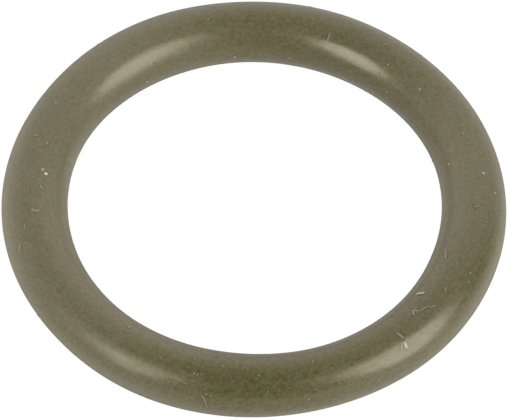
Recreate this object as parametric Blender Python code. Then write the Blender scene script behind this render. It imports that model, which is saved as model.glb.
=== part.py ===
"""O-ring oil seal: one moulded rubber ring of round section.

The ring is centred on the origin and its axis runs along +Z, so it lies flat. All sizes are in metres.
"""

import bpy

# Driving dimensions
INSIDE_DIAMETER = 0.018  # across the hole, which grips the bottom of a shaft's groove
SECTION_DIAMETER = 0.003  # thickness of the round section, which the groove squeezes

# Facets of the solid
RING_SEGMENTS = 96  # around the axis
# Twice an odd number, so that the section has a corner at the inside and the outside diameter, which
# keeps both true, and a level facet at its top and its bottom, which lies flat on a groove's side.
SECTION_SEGMENTS = 34

# Finish of the moulded fluorocarbon rubber
RUBBER_COLOR = (0.115, 0.104, 0.050, 1.0)  # olive green, linear
RUBBER_ROUGHNESS = 0.45


def clear_scene():
    """Removes whatever the scene holds at the start."""
    for old in list(bpy.data.objects):
        bpy.data.objects.remove(old, do_unlink=True)


def make_rubber():
    """Olive green rubber with a satin mould finish."""
    rubber = bpy.data.materials.new("olive_rubber")
    rubber.use_nodes = True
    shader = rubber.node_tree.nodes["Principled BSDF"]
    shader.inputs["Base Color"].default_value = RUBBER_COLOR
    shader.inputs["Roughness"].default_value = RUBBER_ROUGHNESS
    shader.inputs["Metallic"].default_value = 0.0
    return rubber


def make_ring():
    """The whole seal: a torus whose centre circle lies half a section outside the hole."""
    section_radius = SECTION_DIAMETER / 2
    bpy.ops.mesh.primitive_torus_add(
        major_radius=INSIDE_DIAMETER / 2 + section_radius,
        minor_radius=section_radius,
        major_segments=RING_SEGMENTS,
        minor_segments=SECTION_SEGMENTS,
        location=(0.0, 0.0, 0.0),
    )
    ring = bpy.context.active_object
    ring.name = "o_ring"
    ring.data.name = "o_ring"
    ring.data.shade_smooth()
    return ring


def main():
    clear_scene()
    seal = bpy.data.collections.new("oil_seal")
    bpy.context.scene.collection.children.link(seal)
    ring = make_ring()
    ring.data.materials.append(make_rubber())
    for holder in list(ring.users_collection):
        holder.objects.unlink(ring)
    seal.objects.link(ring)


main()
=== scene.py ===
"""Looks of an olive green moulded rubber o-ring, with the dust and the lint that have settled on it.

The ring lies flat on a white table between two softboxes. All lengths are in metres. An angle called
turn goes round the ring's axis, and one called lean goes round its section: zero on the outside, a
quarter turn on top, half a turn on the inside.
"""

from math import cos, pi, radians, sin
from typing import NamedTuple

import bpy
import numpy as np
from mathutils import Matrix, Vector


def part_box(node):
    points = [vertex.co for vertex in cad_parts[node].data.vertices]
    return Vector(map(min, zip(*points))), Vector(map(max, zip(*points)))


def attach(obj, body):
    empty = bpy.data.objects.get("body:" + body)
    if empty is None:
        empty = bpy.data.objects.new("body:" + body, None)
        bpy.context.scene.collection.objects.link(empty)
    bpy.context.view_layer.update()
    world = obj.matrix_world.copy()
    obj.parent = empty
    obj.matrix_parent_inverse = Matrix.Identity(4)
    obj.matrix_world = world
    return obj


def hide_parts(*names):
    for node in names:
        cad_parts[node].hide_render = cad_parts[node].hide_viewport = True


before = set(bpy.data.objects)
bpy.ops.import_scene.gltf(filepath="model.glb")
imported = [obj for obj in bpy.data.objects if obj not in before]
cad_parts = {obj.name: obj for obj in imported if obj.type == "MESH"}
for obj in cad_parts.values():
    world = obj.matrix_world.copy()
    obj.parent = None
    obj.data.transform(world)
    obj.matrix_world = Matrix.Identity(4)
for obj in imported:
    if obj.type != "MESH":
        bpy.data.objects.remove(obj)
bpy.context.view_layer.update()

bl_info = {
    "name": "Rubber O-ring",
    "version": (1, 0, 0),
    "blender": (4, 5, 0),
    "location": "View3D > Sidebar > O-ring",
    "description": "Builds a moulded rubber o-ring with settled dust and lint, on a small studio table",
    "category": "Add Mesh",
}

MM = 0.001

# The ring, from the frame
CAD_NODE = "o_ring"
OUTER_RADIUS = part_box(CAD_NODE)[1].x
SECTION_DIAMETER = 3.0 * MM  # the frame's solid is flattened by 0.013 mm along its top and its bottom

# The photograph's camera, fitted to the ring's outline
IMAGE_WIDTH = 508  # pixels
IMAGE_HEIGHT = 419  # pixels
CAMERA_ELEVATION = radians(53.68)
CAMERA_ROLL = radians(1.129)
CAMERA_TILT = radians(-0.0428)  # the ring lies a little above the middle of the picture
CAMERA_DISTANCE = 0.2879
CAMERA_LENS_MM = 427.2
SENSOR_WIDTH_MM = 36.0
CAMERA_CLIP_START = 0.01
CAMERA_CLIP_END = 10.0
STEPS_ALONG_A_RAY = 60  # after which a ray from the camera has reached the ring's skin

# The studio. An azimuth is measured round from the picture's right, over the far side.
WALL_AZIMUTH = radians(117)
WALL_GLOW = 1.3
WALL_FALLOFF = 4.0  # the power of a direction's height by which the wall's glow fades upwards
HORIZON_GLOW = 1.5  # more than 1, so that it is white for a few degrees before it falls off
HORIZON_BAND = 0.1
OVERHEAD_GLOW = 0.04
TABLE_WHITE = (0.8, 0.8, 0.8, 1)
TABLE_GLOW = 1.06
TABLE_GLOW_SHARE = 0.9


class Softbox(NamedTuple):
    """An oval lamp that faces the ring: where it stands, its size and its power."""

    azimuth: float  # degrees
    elevation: float  # degrees
    distance: float
    width: float
    height: float
    watts: float


SOFTBOXES = {
    "left_softbox": Softbox(221.0, 32.8, 0.6, 0.28, 0.51, 2.26),
    "right_softbox": Softbox(331.6, 29.8, 0.6, 0.43, 0.65, 3.94),
}


class Stretch(NamedTuple):
    """A stretch that departs from the rest: its middle, by how much, and its half width.

    It is a stretch of the way round the ring, in turn, or of the way round its section, in lean.
    """

    middle: float  # degrees
    amount: float
    reach: float  # degrees


# Where the section is fuller than its true radius, or slimmer
FULLER_STRETCHES = {
    "left": Stretch(187, 0.082 * MM, 45),
    "right": Stretch(348, 0.056 * MM, 34),
    "far left": Stretch(125, 0.020 * MM, 30),
    "near left": Stretch(240, 0.016 * MM, 30),
    "near right": Stretch(292, -0.055 * MM, 34),
    "far right": Stretch(38, -0.026 * MM, 34),
    "far side": Stretch(93, -0.022 * MM, 24),
}

# Where the ring's centre line lies further from its axis than a true circle, or nearer
WIDER_STRETCHES = {
    "far right": Stretch(30, 0.032 * MM, 34),
    "left": Stretch(173, -0.030 * MM, 34),
    "near left": Stretch(239, 0.032 * MM, 24),
    "near side": Stretch(283, -0.050 * MM, 34),
    "near right": Stretch(321, 0.018 * MM, 22),
}

# Where the skin is duller than elsewhere, or shinier, by turn and by lean
DULLER_STRETCHES = {
    "far right": Stretch(60, -0.08, 60),
    "near left": Stretch(240, 0.07, 50),
    "near right": Stretch(312, -0.02, 50),
}
DULLER_BANDS = {
    "along the inside": Stretch(156, 0.12, 24),
}


class Patch(NamedTuple):
    """A patch where the film of dust is thicker or thinner, which partly stands for light and shade: painted
    light where the skin is paler, painted shade where it is darker. Its middle, by how much, and its half
    widths.
    """

    turn: float  # degrees
    lean: float  # degrees
    share: float  # of the dust's colour
    turn_reach: float  # degrees
    lean_reach: float  # degrees


FILM = 0.02  # share of the dust's colour, away from the patches
# Over the even film of dust, these patches paint light where they make the skin paler and shade where they
# make it darker
DUST_AND_PAINTED_LIGHT_PATCHES = {
    "left": Patch(196, 112, 0.055, 85, 60),
    "outer left": Patch(184, 28, 0.045, 45, 48),
    "inner left rim": Patch(180, 170, 0.060, 45, 30),
    "far left": Patch(130, 100, 0.050, 40, 70),
    "right": Patch(10, 100, 0.045, 50, 60),
    "outer right rim": Patch(352, 12, 0.042, 45, 30),
    "inner right rim": Patch(352, 168, 0.055, 35, 30),
    "near side": Patch(268, 50, -0.055, 50, 60),
    "outer near side": Patch(268, 3, -0.034, 40, 34),
    "near right": Patch(334, 46, -0.050, 34, 34),
    "inner far right": Patch(30, 184, -0.070, 34, 40),
    "outer near left": Patch(240, 0, 0.045, 34, 30),
    "inner near left": Patch(242, 122, 0.035, 35, 30),
    "inner far side": Patch(70, 172, -0.035, 50, 60),
    "inner far rim": Patch(65, 204, -0.055, 60, 26),
}


class Grain(NamedTuple):
    """A grain of dust: its pixel in the photograph, its size, its heading, and how pale it is."""

    across: float
    down: float
    length: float
    width: float
    heading: float  # degrees from the picture's right
    paleness: float  # 0 is the rubber's colour, 1 the dust's


class Hair(NamedTuple):
    """A hair of lint: the pixels of the photograph that it passes through, its thickness and paleness."""

    path: tuple
    thickness: float
    paleness: float


GRAINS = {
    "brightest": Grain(45.9, 173.7, 0.20 * MM, 0.17 * MM, 0, 0.76),
    "beside the brightest": Grain(42.7, 169.4, 0.22 * MM, 0.19 * MM, 60, 0.31),
    "long one in the highlight": Grain(405.2, 345.0, 0.33 * MM, 0.22 * MM, -65, 0.57),
    "far right": Grain(419.6, 89.3, 0.14 * MM, 0.11 * MM, 20, 0.37),
    "outer right": Grain(483.2, 173.3, 0.18 * MM, 0.15 * MM, -30, 0.35),
    "inner right": Grain(449.2, 164.4, 0.18 * MM, 0.14 * MM, 0, 0.32),
    "near left": Grain(194.4, 373.2, 0.16 * MM, 0.14 * MM, 70, 0.06),
}

FAINT_GRAINS = {
    "far left": ((103.7, 50.2), (71.3, 102.1), (55.9, 103.2), (47.0, 143.0), (146.6, 81.5)),
    "far side": ((208.5, 19.4), (234.1, 57.0), (289.2, 58.0), (385.5, 44.1), (386.8, 91.9)),
    "left": ((56.4, 215.0), (41.1, 227.6), (87.0, 294.2), (102.1, 306.7), (128.8, 327.4)),
    "right": ((461.8, 125.5), (463.0, 132.8), (473.9, 177.1), (494.9, 193.1), (486.0, 222.1)),
    "near right": ((473.4, 240.4), (467.4, 265.8), (470.0, 272.8), (468.8, 281.7), (445.6, 288.9)),
    "near left": ((142.6, 362.8), (168.5, 380.9), (187.0, 380.3), (197.7, 374.7), (216.9, 356.8)),
    "near side": ((223.4, 365.9), (233.0, 359.8), (308.5, 399.0), (313.0, 361.5), (377.9, 379.3)),
}

# How much paler than elsewhere the faint grains of each place are
FAINT_GAIN = {
    "far left": 1.3,
    "far side": 1.6,
    "left": 0.8,
    "right": 1.35,
    "near right": 0.6,
    "near left": 0.4,
    "near side": 0.7,
}

# The hook and the curl are two hairs that lie end to end
HOOK_END = ((414.9, 315.4), (413.1, 313.6), (413.2, 311.4), (415.3, 310.6), (418.8, 311.4))
CURL_END = (
    HOOK_END[-1],
    (421.5, 310.0),
    (424.0, 308.0),
    (428.0, 306.6),
    (431.5, 306.9),
    (434.5, 305.4),
    (436.3, 307.3),
)
FLECK_PATH = ((416.7, 295.3), (418.3, 293.9), (421.0, 293.5), (424.9, 293.0))
BENT_PATH = ((31.2, 208.7), (34.0, 210.2), (36.6, 211.0), (39.8, 210.1))
NEAR_SIDE_PATH = ((201.5, 394.5), (204.0, 399.0), (206.0, 403.5), (207.8, 407.8))
FAR_SIDE_PATH = ((330.3, 32.3), (329.3, 35.7), (328.0, 39.0), (327.2, 40.7), (329.0, 42.0))

HAIRS = {
    "bent fleck": Hair(FLECK_PATH, 0.185 * MM, 0.37),
    "hook": Hair(HOOK_END, 0.095 * MM, 0.21),
    "curl": Hair(CURL_END, 0.110 * MM, 0.09),
    "slanting": Hair(((396.4, 332.7), (400.4, 335.5), (403.7, 338.6)), 0.110 * MM, 0.18),
    "beside the long grain": Hair(((400.8, 342.6), (401.0, 346.5), (401.3, 350.3)), 0.090 * MM, 0.30),
    "bent at the left": Hair(BENT_PATH, 0.095 * MM, 0.26),
    "short at the left": Hair(((39.8, 184.9), (41.0, 187.3), (42.9, 189.4)), 0.125 * MM, 0.17),
    "upright at the left": Hair(((24.4, 224.0), (24.6, 227.0), (24.8, 230.0)), 0.070 * MM, 0.18),
    "upright, lower left": Hair(((20.0, 243.6), (20.2, 247.5), (20.0, 251.0)), 0.110 * MM, 0.21),
    "near side": Hair(NEAR_SIDE_PATH, 0.100 * MM, 0.09),
    "far side": Hair(FAR_SIDE_PATH, 0.092 * MM, 0.12),
    "fleck at the left": Hair(((33.3, 136.3), (38.4, 135.6)), 0.110 * MM, 0.15),
    "inner right": Hair(((445.9, 249.0), (446.2, 254.0), (445.9, 259.2)), 0.140 * MM, 0.13),
    "right": Hair(((473.4, 207.0), (476.5, 206.0), (479.5, 204.6)), 0.210 * MM, 0.065),
}

# No dust or lint lies nearer than this to the middle of the underside, where the ring meets the table
CONTACT_HALF_WIDTH = radians(16)

# The skin: streaks that the mould left along it, specks of fine dust, and soft patches of colour
STREAKS_PER_METRE = 6000.0
STREAK_SLENDERNESS = 5.0
STREAK_HEIGHT = 0.0006 * MM
STREAK_DUST = 0.014  # share of the dust's colour, at most, from the palest streak to the darkest
STREAK_DULLNESS = 0.20  # roughness, at most, from the dullest streak to the shiniest
SPECKS_PER_METRE = 6500.0
SPECKLE = 0.21
SPECK_DETAIL = 2.0  # layers of finer specks
SPECK_ROUGHNESS = 0.75  # strength of each layer beside the one before
SOFT_DETAIL = 1.0  # layers of finer noise in the streaks and the patches
GRAIN_HEIGHT = 0.0015 * MM
PATCHES_PER_METRE = 1300.0
PATCH_CONTRAST = 3.0  # how much faster than the noise the colour goes from one to the other
EDGE_DULLNESS = 0.5  # roughness that is added where the skin is seen edge on
EDGE_DULLNESS_POWER = 3.0
DUST_SHEEN = 0.065  # glow of the film of dust where it is seen edge on
DUST_SHEEN_ROUGHNESS = 0.35
DUST_SHEEN_TINT = (1.0, 0.58, 0.70, 1)

# The rubber's colour drifts between two, each its red, green and blue times these
GREENER = (0.97, 1.01, 1.0)
BROWNER = (1.03, 0.99, 1.0)

# Grains and hairs
FAINTEST_ROUGHNESS = 0.35  # of dust so faint that the rubber's shine is seen through it
DUST_SPECKS_PER_METRE = 15000.0
GRAIN_RAISED = 0.6  # of half its height, so that it is sunk in the skin by the rest
HAIR_FLATNESS = 0.35  # its height as a share of its thickness
HAIR_RAISED = 0.45  # of its height
HAIR_BLUNTNESS = 6  # the power by which its ends are rounded

# The numbers of the Mix node's sockets when it mixes colours, as their names aren't unique
MIX_SHARE = 0
MIX_FIRST = 6
MIX_SECOND = 7
MIX_RESULT = 2


class OringSizes(bpy.types.PropertyGroup):
    """Sizes of the ring and of what lies on it."""

    outer_diameter: bpy.props.FloatProperty(
        name="Outer diameter",
        description="Width of the ring across its outside",
        default=2 * OUTER_RADIUS,
        subtype="DISTANCE",
        unit="LENGTH",
        precision=5,
    )
    section_diameter: bpy.props.FloatProperty(
        name="Section diameter",
        description="Thickness of the round rubber section",
        default=SECTION_DIAMETER,
        subtype="DISTANCE",
        unit="LENGTH",
        precision=5,
    )
    swell_height: bpy.props.FloatProperty(
        name="Swell height",
        description="Height of the low swells that moulding leaves on the skin",
        default=0.002 * MM,
        subtype="DISTANCE",
        unit="LENGTH",
        precision=6,
    )
    scattered_grains: bpy.props.IntProperty(
        name="Scattered grains",
        description="Number of small grains of dust all over the ring",
        default=900,
        min=0,
    )
    hidden_hairs: bpy.props.IntProperty(
        name="Hidden hairs",
        description="Number of hairs of lint on the sides that the photograph doesn't show",
        default=14,
        min=0,
    )


class OringFinish(bpy.types.PropertyGroup):
    """Colours and sheen of the ring and of what lies on it."""

    rubber_colour: bpy.props.FloatVectorProperty(
        name="Rubber colour",
        description="Olive green of the fluorocarbon rubber",
        default=(0.0945, 0.0842, 0.0398, 1.0),
        size=4,
        subtype="COLOR",
        min=0.0,
        max=1.0,
    )
    rubber_roughness: bpy.props.FloatProperty(
        name="Rubber roughness",
        description="How far the moulded skin scatters a reflection",
        default=0.29,
        subtype="FACTOR",
        min=0.0,
        max=1.0,
    )
    reflection_level: bpy.props.FloatProperty(
        name="Reflection level",
        description="Strength of the rubber's reflection, where a half is plain plastic's",
        default=0.52,
        subtype="FACTOR",
        min=0.0,
        max=1.0,
    )
    reflection_tint: bpy.props.FloatVectorProperty(
        name="Reflection tint",
        description="Warm tint that the rubber gives to what it reflects",
        default=(1.0, 0.92, 0.76, 1.0),
        size=4,
        subtype="COLOR",
        min=0.0,
        max=1.0,
    )
    dust_colour: bpy.props.FloatVectorProperty(
        name="Dust colour",
        description="Cream of the grains of dust and of the lint",
        default=(0.70, 0.62, 0.48, 1.0),
        size=4,
        subtype="COLOR",
        min=0.0,
        max=1.0,
    )


def hump(angle, middle, reach):
    """A smooth hump over angles: 1 at its middle, falling as a cosine does to 0 at its reach and beyond."""
    away = np.abs((np.degrees(angle) - middle + 180) % 360 - 180)
    return (1 + np.cos(pi * np.minimum(away / reach, 1))) / 2


def departure(angle, stretches):
    """How far the ring departs from the rest at these angles: a hump for each stretch, by its amount."""
    return sum(stretch.amount * hump(angle, stretch.middle, stretch.reach) for stretch in stretches.values())


def dust_film_and_painted_light(turn, lean):
    """Share of the dust's colour on the skin: an even film of dust all over, and a hump for each patch, which
    is painted light where it makes the skin paler and painted shade where it makes it darker.
    """
    film_and_painted_light = FILM + 0 * turn
    for patch in DUST_AND_PAINTED_LIGHT_PATCHES.values():
        round_ring = hump(turn, patch.turn, patch.turn_reach)
        round_section = hump(lean, patch.lean, patch.lean_reach)
        film_and_painted_light += patch.share * round_ring * round_section
    return film_and_painted_light


def ring_shape(turn, sizes):
    """At these turns, the radius of the ring's centre line, the section's radius and its middle's height.

    The middle is raised by as much as the section is fuller, so the whole underside is at one level.
    """
    true_radius = sizes.section_diameter / 2
    fullness = departure(turn, FULLER_STRETCHES)
    ring_radius = sizes.outer_diameter / 2 - true_radius + departure(turn, WIDER_STRETCHES)
    return ring_radius, true_radius + fullness, fullness


def ring_surface(turn, lean, sizes, lift=0.0):
    """Points of the ring's skin, or at a height of lift above it.

    A spoke of the section's radius, turned up by lean, stands on the end of a spoke of the ring's
    radius, turned round the axis by turn.
    """
    ring_radius, section_radius, middle_height = ring_shape(turn, sizes)
    reach = ring_radius + (section_radius + lift) * np.cos(lean)
    height = middle_height + (section_radius + lift) * np.sin(lean)
    return np.stack([reach * np.cos(turn), reach * np.sin(turn), height], axis=-1)


def outward(turn, lean):
    """Directions, of length one, in which the ring's skin faces."""
    return np.stack([np.cos(lean) * np.cos(turn), np.cos(lean) * np.sin(turn), np.sin(lean)], axis=-1)


def low_swells(turn, lean):
    """Height between -1 and 1 of low swells over the ring.

    It is the mean of waves that run round the axis and round the section at once, each a whole number
    of times, so that they meet again where they started.
    """
    waves = ((29, 2, 0.3), (43, -3, 1.9), (17, 1, 4.1), (61, 4, 2.6), (37, -5, 5.2))
    swells = [np.sin(along * turn + across * lean + start) for along, across, start in waves]
    return sum(swells) / len(waves)


def closed_sheet_faces(rows, columns):
    """Four-sided faces of a grid that closes on itself both ways, with point row * columns + column."""
    row, column = np.meshgrid(np.arange(rows), np.arange(columns), indexing="ij")
    next_row, next_column = (row + 1) % rows, (column + 1) % columns
    corners = [row * columns + column, next_row * columns + column]
    corners += [next_row * columns + next_column, row * columns + next_column]
    return np.stack(corners, axis=-1).reshape(-1, 4)


def capped_tube_faces(rings, sides):
    """Four-sided and three-sided faces of a tube of that many rings of points, with a point at each end.

    The first end's point comes first, then the rings, then the last end's point.
    """
    ring, side = np.meshgrid(np.arange(rings - 1), np.arange(sides), indexing="ij")
    next_side = (side + 1) % sides
    near, far = 1 + ring * sides, 1 + (ring + 1) * sides
    walls = np.stack([near + side, near + next_side, far + next_side, far + side], axis=-1).reshape(-1, 4)
    around = np.arange(sides)
    after = (around + 1) % sides
    last, last_ring = 1 + rings * sides, 1 + (rings - 1) * sides
    start = np.stack([0 * around, 1 + after, 1 + around], axis=-1)
    end = np.stack([0 * around + last, last_ring + around, last_ring + after], axis=-1)
    return walls, np.concatenate([start, end])


def mesh_piece(name, points, face_groups, material):
    """A smooth mesh object of these points, with faces of one number of sides in each group."""
    mesh = bpy.data.meshes.new(name)
    mesh.vertices.add(len(points))
    mesh.vertices.foreach_set("co", np.asarray(points, np.float32).ravel())
    corners = np.concatenate([faces.ravel() for faces in face_groups]).astype(np.int32)
    sides = np.concatenate([np.full(len(faces), faces.shape[1]) for faces in face_groups])
    mesh.loops.add(len(corners))
    mesh.loops.foreach_set("vertex_index", corners)
    mesh.polygons.add(len(sides))
    mesh.polygons.foreach_set("loop_start", (np.cumsum(sides) - sides).astype(np.int32))
    mesh.update(calc_edges=True)
    mesh.shade_smooth()
    mesh.materials.append(material)
    piece = bpy.data.objects.new(name, mesh)
    bpy.context.collection.objects.link(piece)
    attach(piece, "root")
    return piece


def write_attribute(piece, name, values):
    """Gives each point of the piece a value that its material reads by name."""
    attribute = piece.data.attributes.new(name, "FLOAT", "POINT")
    attribute.data.foreach_set("value", np.asarray(values, np.float32).ravel())


def write_strip_map(piece, rows, columns, strips, margin):
    """Lays the ring's skin out flat, in strips side by side, each an equal part of the way round.

    Across the map is the share of the strip's own turn, and up the map is the lean's share of a full
    turn, in the strip's own band. Each strip keeps clear of its band's edges by a margin.
    """
    row, column = np.meshgrid(np.arange(rows), np.arange(columns), indexing="ij")
    rows_each = rows // strips
    across = np.stack([row % rows_each, row % rows_each + 1, row % rows_each + 1, row % rows_each], axis=-1)
    up = np.stack([column, column, column + 1, column + 1], axis=-1) / columns
    band = (row // rows_each)[..., None]
    filled = 1 - 2 * margin
    flat = np.stack([margin + filled * across / rows_each, (band + margin + filled * up) / strips], axis=-1)
    layer = piece.data.uv_layers.new(name="OFBake")
    layer.data.foreach_set("uv", flat.astype(np.float32).ravel())


def photograph_view():
    """Place of the photograph's camera, and its directions right, up and back."""
    place = CAMERA_DISTANCE * Vector((0, -cos(CAMERA_ELEVATION), sin(CAMERA_ELEVATION)))
    tilted = CAMERA_ELEVATION - CAMERA_TILT
    back = Vector((0, -cos(tilted), sin(tilted)))
    level_right = Vector((1, 0, 0))
    level_up = back.cross(level_right)
    right = level_right * cos(CAMERA_ROLL) + level_up * sin(CAMERA_ROLL)
    up = level_up * cos(CAMERA_ROLL) - level_right * sin(CAMERA_ROLL)
    return place, right, up, back


def nearest_on_ring(points, sizes):
    """The place on the ring's skin nearest to each point, the way it faces, and how far off the point is."""
    turn = np.arctan2(points[..., 1], points[..., 0])
    ring_radius, section_radius, middle_height = ring_shape(turn, sizes)
    middle = np.stack([ring_radius * np.cos(turn), ring_radius * np.sin(turn), middle_height], axis=-1)
    away = points - middle
    distance = np.linalg.norm(away, axis=-1, keepdims=True)
    facing = away / distance
    return middle + section_radius[..., None] * facing, facing, distance - section_radius[..., None]


def seen_at(pixels, sizes):
    """Places on the ring that the photograph shows at these pixels, and the ways they face.

    Each ray leaves the camera and is walked forwards by its distance from the skin, again and again,
    which brings it to the first place where it touches.
    """
    place, right, up, back = (np.array(part) for part in photograph_view())
    pixels_per_unit = IMAGE_WIDTH * CAMERA_LENS_MM / SENSOR_WIDTH_MM
    offset = np.asarray(pixels, float) - (IMAGE_WIDTH / 2, IMAGE_HEIGHT / 2)
    ray = (offset[:, :1] * right - offset[:, 1:] * up) / pixels_per_unit - back
    ray /= np.linalg.norm(ray, axis=-1, keepdims=True)
    points = place + 0 * ray
    for _ in range(STEPS_ALONG_A_RAY):
        points = points + ray * nearest_on_ring(points, sizes)[2]
    skin, facing, _ = nearest_on_ring(points, sizes)
    return skin, facing


def smooth_path(points, steps):
    """Points along a curve through the given ones, with that many steps from each to the next.

    Each span is the cubic whose slope at a point is half the way from the point before to the one after.
    """
    before = np.concatenate([2 * points[:1] - points[1:2], points[:-1]])
    after = np.concatenate([points[1:], 2 * points[-1:] - points[-2:-1]])
    slope = (after - before) / 2
    t = np.linspace(0, 1, steps, endpoint=False)[None, :, None]
    from_start = points[:-1, None] * (2 * t**3 - 3 * t**2 + 1) + slope[:-1, None] * (t**3 - 2 * t**2 + t)
    to_end = points[1:, None] * (3 * t**2 - 2 * t**3) + slope[1:, None] * (t**3 - t**2)
    return np.concatenate([(from_start + to_end).reshape(-1, 3), points[-1:]])


def hair_points(path, thickness, sizes, sides, steps, lift):
    """Points of a thin flattened tube that lies along a path on the ring, and the number of its rings.

    The tube's middle is the path, raised off the skin by nearly half its height and by an arch of
    height lift. Its radius falls to nothing at both ends as the root of one less a high power does.
    """
    skin, facing, _ = nearest_on_ring(smooth_path(path, steps), sizes)
    along = np.linspace(0, 1, len(skin))[:, None]
    height = HAIR_FLATNESS * thickness
    line = skin + facing * (HAIR_RAISED * height + lift * np.sin(pi * along))
    ahead = np.gradient(line, axis=0)
    ahead /= np.linalg.norm(ahead, axis=-1, keepdims=True)
    aside = np.cross(facing, ahead)
    aside /= np.linalg.norm(aside, axis=-1, keepdims=True)
    above = np.cross(ahead, aside) * HAIR_FLATNESS
    radius = thickness / 2 * np.sqrt(1 - np.abs(2 * along[1:-1] - 1) ** HAIR_BLUNTNESS)
    angle = (np.arange(sides) * 2 * pi / sides)[:, None]
    spokes = aside[1:-1, None] * np.cos(angle) + above[1:-1, None] * np.sin(angle)
    tube = line[1:-1, None] + radius[:, None] * spokes
    return np.concatenate([line[:1], tube.reshape(-1, 3), line[-1:]]), len(line) - 2


def grain_points(places, facing, heading, size, lumps, rings, sides):
    """Points of lumpy grains, partly sunk in the skin, as one array of (grain, point, 3).

    Each is a ball of rings of points from its back pole to its front one, with its points moved in or
    out by lumps and stretched to the size: length along heading, width across it and height outwards.
    """
    latitude = (np.arange(rings) + 1) * pi / (rings + 1)
    angle = np.arange(sides) * 2 * pi / sides
    along = np.repeat(-np.cos(latitude), sides)
    ball = np.stack([along, np.outer(np.sin(latitude), np.cos(angle)).ravel()], axis=-1)
    ball = np.concatenate([ball, np.outer(np.sin(latitude), np.sin(angle)).reshape(-1, 1)], axis=-1)
    ball = np.concatenate([[[-1, 0, 0]], ball, [[1, 0, 0]]])
    ahead = heading - (heading * facing).sum(-1, keepdims=True) * facing
    ahead /= np.linalg.norm(ahead, axis=-1, keepdims=True)
    axes = np.stack([ahead, np.cross(facing, ahead), facing], axis=1) * size[..., None] / 2
    raised = GRAIN_RAISED * axes[:, 2]
    return (places + raised)[:, None] + (ball * lumps) @ axes


def copies_of_faces(face_groups, points_each, copies):
    """The faces of one shape, repeated for each of its copies in one array of points."""
    offset = np.arange(copies)[:, None, None] * points_each
    return [(faces[None] + offset).reshape(-1, faces.shape[1]) for faces in face_groups]


def add_node(tree, kind, inputs=(), **settings):
    """A node of this kind, with its properties and, by name or number, its inputs set or linked."""
    node = tree.nodes.new("ShaderNode" + kind)
    for name, value in settings.items():
        setattr(node, name, value)
    for name, value in dict(inputs).items():
        if isinstance(value, bpy.types.NodeSocket):
            tree.links.new(value, node.inputs[name])
        else:
            node.inputs[name].default_value = value
    return node


def calculate(tree, operation, *values, clamped=False):
    """The result of a Math node with these numbers or sockets as its inputs."""
    return add_node(tree, "Math", enumerate(values), operation=operation, use_clamp=clamped).outputs[0]


def mix_colours(tree, share, first, second):
    """The colour that is first where share is 0 and second where it is 1."""
    inputs = {MIX_SHARE: share, MIX_FIRST: first, MIX_SECOND: second}
    return add_node(tree, "Mix", inputs, data_type="RGBA", clamp_factor=False).outputs[MIX_RESULT]


def shared_group(name, inputs, outputs, fill):
    """The shader node group of that name, with its named sockets, which fill builds on its first use."""
    group = bpy.data.node_groups.get(name)
    if group:
        return group
    group = bpy.data.node_groups.new(name, "ShaderNodeTree")
    for label, kind in inputs.items():
        group.interface.new_socket(label, in_out="INPUT", socket_type="NodeSocket" + kind)
    for label, kind in outputs.items():
        group.interface.new_socket(label, in_out="OUTPUT", socket_type="NodeSocket" + kind)
    given, made = group.nodes.new("NodeGroupInput"), group.nodes.new("NodeGroupOutput")
    for label, socket in fill(group, given.outputs).items():
        group.links.new(socket, made.inputs[label])
    return group


def place_group(tree, group, inputs):
    """Puts a shared group into a material, with its inputs, and gives its outputs."""
    return add_node(tree, "Group", inputs, node_tree=group).outputs


def dusting():
    """A colour with fine dust on it: a share of it all over, and more or less from speck to speck."""

    def fill(group, given):
        uneven = {"Vector": given["Vector"], "Scale": given["Specks per metre"]}
        uneven |= {"Detail": SPECK_DETAIL, "Roughness": SPECK_ROUGHNESS}
        noise = add_node(group, "TexNoise", uneven).outputs["Fac"]
        swing = calculate(group, "MULTIPLY", calculate(group, "SUBTRACT", noise, 0.5), given["Speckle"])
        share = calculate(group, "ADD", given["Share"], swing)
        dusted = mix_colours(group, share, given["Colour"], given["Dust colour"])
        return {"Colour": dusted, "Height": noise}

    inputs = {"Vector": "Vector", "Colour": "Color", "Dust colour": "Color", "Share": "Float"}
    inputs |= {"Specks per metre": "Float", "Speckle": "Float"}
    return shared_group("dusting", inputs, {"Colour": "Color", "Height": "Float"}, fill)


def colour_patches(tree, place, first, second, patches_per_metre):
    """Soft patches that drift from one colour to the other."""
    drift = {"Vector": place, "Scale": patches_per_metre, "Detail": SOFT_DETAIL}
    noise = add_node(tree, "TexNoise", drift).outputs["Fac"]
    start = 0.5 - PATCH_CONTRAST / 2
    share = calculate(tree, "MULTIPLY_ADD", noise, PATCH_CONTRAST, start, clamped=True)
    return mix_colours(tree, share, first, second)


def streaks_along_ring(tree, place, centre_radius, streaks_per_metre, slenderness):
    """Noise in fine streaks along the ring, each as many times longer than wide as the slenderness.

    Its four coordinates are the place in the section, outwards and upwards, and the place on the
    ring's centre line, both ways, with the last two divided by the slenderness.
    """
    parts = add_node(tree, "SeparateXYZ", {0: place}).outputs
    level = add_node(tree, "CombineXYZ", {"X": parts["X"], "Y": parts["Y"]}).outputs[0]
    reach = add_node(tree, "VectorMath", {0: level}, operation="LENGTH").outputs["Value"]
    outwards = calculate(tree, "SUBTRACT", reach, centre_radius)
    heading = add_node(tree, "VectorMath", {0: level}, operation="NORMALIZE").outputs[0]
    centre_line = {0: heading, "Scale": centre_radius / slenderness}
    along = add_node(tree, "VectorMath", centre_line, operation="SCALE").outputs[0]
    along = add_node(tree, "SeparateXYZ", {0: along}).outputs
    fast = add_node(tree, "CombineXYZ", {"X": outwards, "Y": parts["Z"], "Z": along["X"]}).outputs[0]
    streaks = {"Vector": fast, "W": along["Y"], "Scale": streaks_per_metre, "Detail": SOFT_DETAIL}
    return add_node(tree, "TexNoise", streaks, noise_dimensions="4D").outputs["Fac"]


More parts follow.
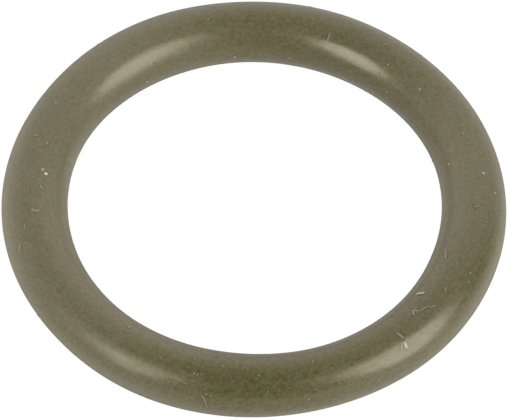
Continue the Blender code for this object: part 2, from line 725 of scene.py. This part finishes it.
def new_material(name):
    """An empty material with its node tree and its Principled shader."""
    material = bpy.data.materials.new(name)
    material.use_nodes = True
    return material, material.node_tree, material.node_tree.nodes["Principled BSDF"]


def shifted(colour, shift):
    """The colour with its red, green and blue multiplied by the parts of the shift."""
    return tuple(part * by for part, by in zip(colour, shift)) + (1.0,)


def rubber_roughness(tree, streaks):
    """Roughness of the rubber: its own, more or less from streak to streak, and more where seen edge on.

    Seen edge on, the film of dust hides the shine. That share is a power of one less the cosine of
    the angle of view.
    """
    dullness = add_node(tree, "Attribute", attribute_name="dullness").outputs["Fac"]
    swing = calculate(tree, "SUBTRACT", streaks, 0.5)
    streaked = calculate(tree, "MULTIPLY_ADD", swing, STREAK_DULLNESS, dullness)
    edge_on = add_node(tree, "LayerWeight", {"Blend": 0.5}).outputs["Facing"]
    hidden = calculate(tree, "POWER", edge_on, EDGE_DULLNESS_POWER)
    return calculate(tree, "MULTIPLY_ADD", hidden, EDGE_DULLNESS, streaked)


def rubber_material(finish, centre_radius):
    """Olive fluorocarbon rubber, finely dusted, with the streaks that its mould left along it."""
    material, tree, shader = new_material("olive_rubber_skin")
    place = add_node(tree, "TexCoord").outputs["Object"]
    greener = shifted(finish.rubber_colour, GREENER)
    browner = shifted(finish.rubber_colour, BROWNER)
    # paleness holds the film of dust and the painted light and shade of its patches
    film_and_painted_light = add_node(tree, "Attribute", attribute_name="paleness").outputs["Fac"]
    streaks = streaks_along_ring(tree, place, centre_radius, STREAKS_PER_METRE, STREAK_SLENDERNESS)
    swing = calculate(tree, "SUBTRACT", streaks, 0.5)
    streaked = calculate(tree, "MULTIPLY_ADD", swing, STREAK_DUST, film_and_painted_light)
    specks = {
        "Vector": place,
        "Colour": colour_patches(tree, place, greener, browner, PATCHES_PER_METRE),
        "Dust colour": tuple(finish.dust_colour),
        "Share": streaked,
        "Specks per metre": SPECKS_PER_METRE,
        "Speckle": SPECKLE,
    }
    dusted = place_group(tree, dusting(), specks)
    tree.links.new(dusted["Colour"], shader.inputs["Base Color"])
    lined = {"Strength": 1.0, "Distance": STREAK_HEIGHT, "Height": streaks}
    grained = {"Strength": 1.0, "Distance": GRAIN_HEIGHT, "Height": dusted["Height"]}
    grained["Normal"] = add_node(tree, "Bump", lined).outputs["Normal"]
    tree.links.new(add_node(tree, "Bump", grained).outputs["Normal"], shader.inputs["Normal"])
    tree.links.new(rubber_roughness(tree, streaks), shader.inputs["Roughness"])
    shader.inputs["Specular IOR Level"].default_value = finish.reflection_level
    shader.inputs["Specular Tint"].default_value = tuple(finish.reflection_tint)
    shader.inputs["Sheen Weight"].default_value = DUST_SHEEN
    shader.inputs["Sheen Roughness"].default_value = DUST_SHEEN_ROUGHNESS
    shader.inputs["Sheen Tint"].default_value = DUST_SHEEN_TINT
    return material


def dust_material(finish, name, speckle):
    """Dust or lint, as pale as each part of it is said to be, and duller the paler it is."""
    material, tree, shader = new_material(name)
    paleness = add_node(tree, "Attribute", attribute_name="paleness").outputs["Fac"]
    specks = {
        "Vector": add_node(tree, "TexCoord").outputs["Object"],
        "Colour": tuple(finish.rubber_colour),
        "Dust colour": tuple(finish.dust_colour),
        "Share": paleness,
        "Specks per metre": DUST_SPECKS_PER_METRE,
        "Speckle": speckle,
    }
    tree.links.new(place_group(tree, dusting(), specks)["Colour"], shader.inputs["Base Color"])
    roughness = calculate(tree, "ADD", paleness, FAINTEST_ROUGHNESS, clamped=True)
    tree.links.new(roughness, shader.inputs["Roughness"])
    return material


class OringMouldedRing(bpy.types.Operator):
    """Builds the rubber ring in place of its plain solid"""

    bl_idname = "oring.moulded_ring"
    bl_label = "Moulded ring"
    TURN_STEPS = 648
    LEAN_STEPS = 144
    STRIPS = 3
    STRIP_MARGIN = 0.01  # of a strip's length and width

    def execute(self, context):
        sizes, finish = context.scene.oring_sizes, context.scene.oring_finish
        turn, lean = np.meshgrid(
            np.arange(self.TURN_STEPS) * 2 * pi / self.TURN_STEPS,
            np.arange(self.LEAN_STEPS) * 2 * pi / self.LEAN_STEPS - pi / 2,
            indexing="ij",
        )
        points = ring_surface(turn, lean, sizes, sizes.swell_height * low_swells(turn, lean))
        faces = closed_sheet_faces(self.TURN_STEPS, self.LEAN_STEPS)
        centre_radius = (sizes.outer_diameter - sizes.section_diameter) / 2
        material = rubber_material(finish, centre_radius)
        ring = mesh_piece("moulded_ring", points.reshape(-1, 3), [faces], material)
        dullness = finish.rubber_roughness + departure(turn, DULLER_STRETCHES) + departure(lean, DULLER_BANDS)
        # The film of dust, with painted light and painted shade in its patches
        write_attribute(ring, "paleness", dust_film_and_painted_light(turn, lean))
        write_attribute(ring, "dullness", dullness)
        write_strip_map(ring, self.TURN_STEPS, self.LEAN_STEPS, self.STRIPS, self.STRIP_MARGIN)
        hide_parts(CAD_NODE)
        return {"FINISHED"}


class OringDust(bpy.types.Operator):
    """Lays the grains of dust on the ring, those of the photograph and many smaller ones"""

    bl_idname = "oring.dust"
    bl_label = "Dust"
    RINGS = 3
    SIDES = 6
    SEED = 7
    LUMPINESS = 0.25
    SPECKLE = 0.5
    FLATNESS = 0.38
    LONGEST_TO_WIDTH = 1.8
    SMALLEST = 0.02 * MM
    LARGEST = 0.08 * MM
    MOSTLY_SMALL = 2.5  # the power of an even spread that the sizes follow
    SCATTERED_PALENESS = (0.05, 0.25)
    FAINT_WIDTHS = (0.10 * MM, 0.15 * MM)
    FAINT_PALENESS = (0.09, 0.20)

    def execute(self, context):
        sizes, finish = context.scene.oring_sizes, context.scene.oring_finish
        rng = np.random.default_rng(self.SEED)
        _, right, up, _ = (np.array(part) for part in photograph_view())

        named = [(grain.across, grain.down) for grain in GRAINS.values()]
        slant = np.radians([[grain.heading] for grain in GRAINS.values()])
        faint = [pixel for pixels in FAINT_GRAINS.values() for pixel in pixels]
        scattered = sizes.scattered_grains
        places, facing = seen_at(named + faint, sizes)
        turn = rng.uniform(0, 2 * pi, scattered)
        lean = rng.uniform(CONTACT_HALF_WIDTH, 2 * pi - CONTACT_HALF_WIDTH, scattered) - pi / 2
        places = np.concatenate([places, ring_surface(turn, lean, sizes)])
        facing = np.concatenate([facing, outward(turn, lean)])
        any_way = rng.normal(size=(len(faint) + scattered, 3))
        heading = np.concatenate([np.cos(slant) * right + np.sin(slant) * up, any_way])

        faint_width = rng.uniform(*self.FAINT_WIDTHS, len(faint))
        share = rng.uniform(0, 1, scattered) ** self.MOSTLY_SMALL
        scattered_width = self.SMALLEST + (self.LARGEST - self.SMALLEST) * share
        named_width = [grain.width for grain in GRAINS.values()]
        width = np.concatenate([named_width, faint_width, scattered_width])
        length = width * rng.uniform(1, self.LONGEST_TO_WIDTH, len(width))
        length[: len(named)] = [grain.length for grain in GRAINS.values()]
        gain = np.array([FAINT_GAIN[region] for region, pixels in FAINT_GRAINS.items() for _ in pixels])
        faint_paleness = gain * rng.uniform(*self.FAINT_PALENESS, len(faint))
        scattered_paleness = rng.uniform(*self.SCATTERED_PALENESS, scattered)
        named_paleness = [grain.paleness for grain in GRAINS.values()]
        paleness = np.concatenate([named_paleness, faint_paleness, scattered_paleness])
        size = np.stack([length, width, self.FLATNESS * width], axis=-1)
        lumps = 1 + self.LUMPINESS * rng.uniform(-1, 1, (len(size), self.RINGS * self.SIDES + 2, 1))
        points = grain_points(places, facing, heading, size, lumps, self.RINGS, self.SIDES)
        faces = copies_of_faces(capped_tube_faces(self.RINGS, self.SIDES), points.shape[1], len(points))
        material = dust_material(finish, "cream_dust", self.SPECKLE)
        dust = mesh_piece("dust_grains", points.reshape(-1, 3), faces, material)
        write_attribute(dust, "paleness", np.repeat(paleness, points.shape[1]))
        return {"FINISHED"}


class OringLint(bpy.types.Operator):
    """Lays the hairs of lint on the ring, those of the photograph and a few on the sides it doesn't show"""

    bl_idname = "oring.lint"
    bl_label = "Lint"
    SIDES = 6
    STEPS_A_SPAN = 6
    LIFT = 0.006 * MM
    SPECKLE = 0.2
    SEED = 11
    HIDDEN_PALENESS = (0.15, 0.6)
    HIDDEN_THICKNESS = (0.03 * MM, 0.055 * MM)
    HIDDEN_SPANS = 4
    HIDDEN_SPAN = 0.11 * MM
    VEER = 0.5  # radians, from one span to the next
    TRIES_EACH = 12  # places drawn for each hair, of which one that faces away is taken
    WELL_AWAY = 0.1  # cosine of the angle past which a place counts as facing away

    def hidden_hairs(self, sizes):
        """Path, thickness and paleness of hairs where the ring faces away from the photograph's camera.

        Each sets off in a direction at random and veers at random, one span after another.
        """
        rng = np.random.default_rng(self.SEED)
        tries = self.TRIES_EACH * sizes.hidden_hairs
        clear = CONTACT_HALF_WIDTH + self.HIDDEN_SPANS * self.HIDDEN_SPAN / (sizes.section_diameter / 2)
        turn = rng.uniform(0, 2 * pi, tries)
        lean = rng.uniform(clear, 2 * pi - clear, tries) - pi / 2
        to_camera = np.array(photograph_view()[0]) - ring_surface(turn, lean, sizes)
        away = (outward(turn, lean) * to_camera).sum(-1) < -self.WELL_AWAY * CAMERA_DISTANCE
        turn, lean = turn[away][: sizes.hidden_hairs, None], lean[away][: sizes.hidden_hairs, None]
        veers = rng.normal(0, self.VEER, (len(turn), self.HIDDEN_SPANS))
        course = rng.uniform(0, 2 * pi, turn.shape) + np.cumsum(veers, axis=1)
        ring_radius, section_radius, _ = ring_shape(turn, sizes)
        turn = turn + np.cumsum(self.HIDDEN_SPAN * np.cos(course), axis=1) / ring_radius
        lean = lean + np.cumsum(self.HIDDEN_SPAN * np.sin(course), axis=1) / section_radius
        thickness = rng.uniform(*self.HIDDEN_THICKNESS, len(turn))
        paleness = rng.uniform(*self.HIDDEN_PALENESS, len(turn))
        return list(zip(ring_surface(turn, lean, sizes), thickness, paleness))

    def execute(self, context):
        sizes, finish = context.scene.oring_sizes, context.scene.oring_finish
        hairs = [(seen_at(hair.path, sizes)[0], hair.thickness, hair.paleness) for hair in HAIRS.values()]
        tubes = []
        walls = []
        ends = []
        paleness = []
        used = 0
        for path, thickness, pale in hairs + self.hidden_hairs(sizes):
            tube, rings = hair_points(path, thickness, sizes, self.SIDES, self.STEPS_A_SPAN, self.LIFT)
            wall, end = capped_tube_faces(rings, self.SIDES)
            tubes.append(tube)
            walls.append(wall + used)
            ends.append(end + used)
            paleness.append(np.full(len(tube), pale))
            used += len(tube)
        faces = [np.concatenate(walls), np.concatenate(ends)]
        material = dust_material(finish, "cream_lint", self.SPECKLE)
        lint = mesh_piece("lint_hairs", np.concatenate(tubes), faces, material)
        write_attribute(lint, "paleness", np.concatenate(paleness))
        return {"FINISHED"}


def photograph_camera():
    """The camera of the photograph."""
    data = bpy.data.cameras.new("photograph_camera")
    data.lens = CAMERA_LENS_MM
    data.sensor_width = SENSOR_WIDTH_MM
    data.clip_start = CAMERA_CLIP_START
    data.clip_end = CAMERA_CLIP_END
    camera = bpy.data.objects.new("photograph_camera", data)
    bpy.context.collection.objects.link(camera)
    place, right, up, back = photograph_view()
    camera.matrix_world = Matrix.Translation(place) @ Matrix((right, up, back)).transposed().to_4x4()
    bpy.context.scene.camera = camera


def softbox(name, azimuth, elevation, distance, width, height, watts):
    """An oval lamp that faces the ring from that direction, in degrees."""
    data = bpy.data.lights.new(name, "AREA")
    data.shape = "ELLIPSE"
    data.size = width
    data.size_y = height
    data.energy = watts
    lamp = bpy.data.objects.new(name, data)
    bpy.context.collection.objects.link(lamp)
    a, e = radians(azimuth), radians(elevation)
    towards = Vector((cos(a) * cos(e), sin(a) * cos(e), sin(e)))
    lamp.location = towards * distance
    lamp.rotation_euler = towards.to_track_quat("Z", "Y").to_euler()
    lamp.visible_camera = False


def studio_world():
    """Surroundings that are pale along the horizon and towards a lit wall, and dark overhead.

    The wall's glow falls off round the compass as half of one and a cosine, and upwards as one less a
    power of the direction's height. The horizon's glow falls off by the distance from the horizon.
    """
    world = bpy.data.worlds.new("studio_world")
    world.use_nodes = True
    tree = world.node_tree
    direction = add_node(tree, "TexCoord").outputs["Generated"]
    height = add_node(tree, "SeparateXYZ", {0: direction}).outputs["Z"]
    level = add_node(tree, "VectorMath", {0: direction, 1: (1, 1, 0)}, operation="MULTIPLY").outputs[0]
    heading = add_node(tree, "VectorMath", {0: level}, operation="NORMALIZE").outputs[0]
    wall = (cos(WALL_AZIMUTH), sin(WALL_AZIMUTH), 0)
    facing = add_node(tree, "VectorMath", {0: heading, 1: wall}, operation="DOT_PRODUCT").outputs["Value"]
    around = calculate(tree, "MULTIPLY_ADD", facing, 0.5, 0.5)
    off_horizon = calculate(tree, "ABSOLUTE", height)
    upwards = calculate(tree, "SUBTRACT", 1.0, calculate(tree, "POWER", off_horizon, WALL_FALLOFF))
    wall_glow = calculate(tree, "MULTIPLY", calculate(tree, "MULTIPLY", around, upwards), WALL_GLOW)
    off_level = calculate(tree, "DIVIDE", off_horizon, HORIZON_BAND)
    horizon_glow = calculate(tree, "SUBTRACT", HORIZON_GLOW, off_level)
    glow = calculate(tree, "MAXIMUM", wall_glow, calculate(tree, "MINIMUM", horizon_glow, 1.0))
    glow = calculate(tree, "MAXIMUM", glow, OVERHEAD_GLOW)
    background = tree.nodes["Background"]
    background.inputs["Color"].default_value = (1, 1, 1, 1)
    tree.links.new(glow, background.inputs["Strength"])
    bpy.context.scene.world = world


def table_material():
    """White table, which the camera and reflections see as nearly plain white, with a faint shadow."""
    material, tree, shader = new_material("white_table")
    shader.inputs["Base Color"].default_value = TABLE_WHITE
    shader.inputs["Roughness"].default_value = 1.0
    shader.inputs["Specular IOR Level"].default_value = 0.0
    ray = add_node(tree, "LightPath").outputs
    seen = calculate(tree, "ADD", ray["Is Camera Ray"], ray["Is Glossy Ray"])
    seen = calculate(tree, "ADD", seen, ray["Is Transmission Ray"], clamped=True)
    whiteness = calculate(tree, "MULTIPLY", seen, TABLE_GLOW_SHARE)
    glow = add_node(tree, "Emission", {"Strength": TABLE_GLOW})
    surface = add_node(tree, "MixShader", {0: whiteness, 1: shader.outputs[0], 2: glow.outputs[0]})
    tree.links.new(surface.outputs[0], tree.nodes["Material Output"].inputs["Surface"])
    return material


class OringStudio(bpy.types.Operator):
    """Sets the table, the softboxes, the pale surroundings and the camera"""

    bl_idname = "oring.studio"
    bl_label = "Studio"
    TABLE_HALF_WIDTH = 1.0

    def execute(self, context):
        table_height = -context.scene.oring_sizes.section_diameter / 2
        half = self.TABLE_HALF_WIDTH
        corners = [(-half, -half), (half, -half), (half, half), (-half, half)]
        mesh = bpy.data.meshes.new("table_top")
        mesh.from_pydata([(x, y, table_height) for x, y in corners], [], [(0, 1, 2, 3)])
        mesh.materials.append(table_material())
        table = bpy.data.objects.new("table_top", mesh)
        bpy.context.collection.objects.link(table)
        for name, lamp in SOFTBOXES.items():
            softbox(name, *lamp)
        studio_world()
        photograph_camera()
        context.scene.view_settings.view_transform = "Standard"
        return {"FINISHED"}


class OringPanel(bpy.types.Panel):
    """Sidebar panel that lists the sizes, the finishes and the pieces"""

    bl_idname = "VIEW3D_PT_oring"
    bl_label = "O-ring"
    bl_space_type = "VIEW_3D"
    bl_region_type = "UI"
    bl_category = "O-ring"

    def draw(self, context):
        for group in (context.scene.oring_sizes, context.scene.oring_finish):
            for name in group.__annotations__:
                self.layout.prop(group, name)
        for piece in PIECES:
            self.layout.operator(piece.bl_idname)


GROUPS = (OringSizes, OringFinish)
PIECES = (OringMouldedRing, OringDust, OringLint, OringStudio)


def register():
    for cls in GROUPS + PIECES + (OringPanel,):
        bpy.utils.register_class(cls)
    bpy.types.Scene.oring_sizes = bpy.props.PointerProperty(type=OringSizes)
    bpy.types.Scene.oring_finish = bpy.props.PointerProperty(type=OringFinish)


def unregister():
    del bpy.types.Scene.oring_finish
    del bpy.types.Scene.oring_sizes
    for cls in reversed(GROUPS + PIECES + (OringPanel,)):
        bpy.utils.unregister_class(cls)


def main():
    register()
    bpy.ops.oring.moulded_ring()
    bpy.ops.oring.dust()
    bpy.ops.oring.lint()
    bpy.ops.oring.studio()


if __name__ == "__main__":
    main()
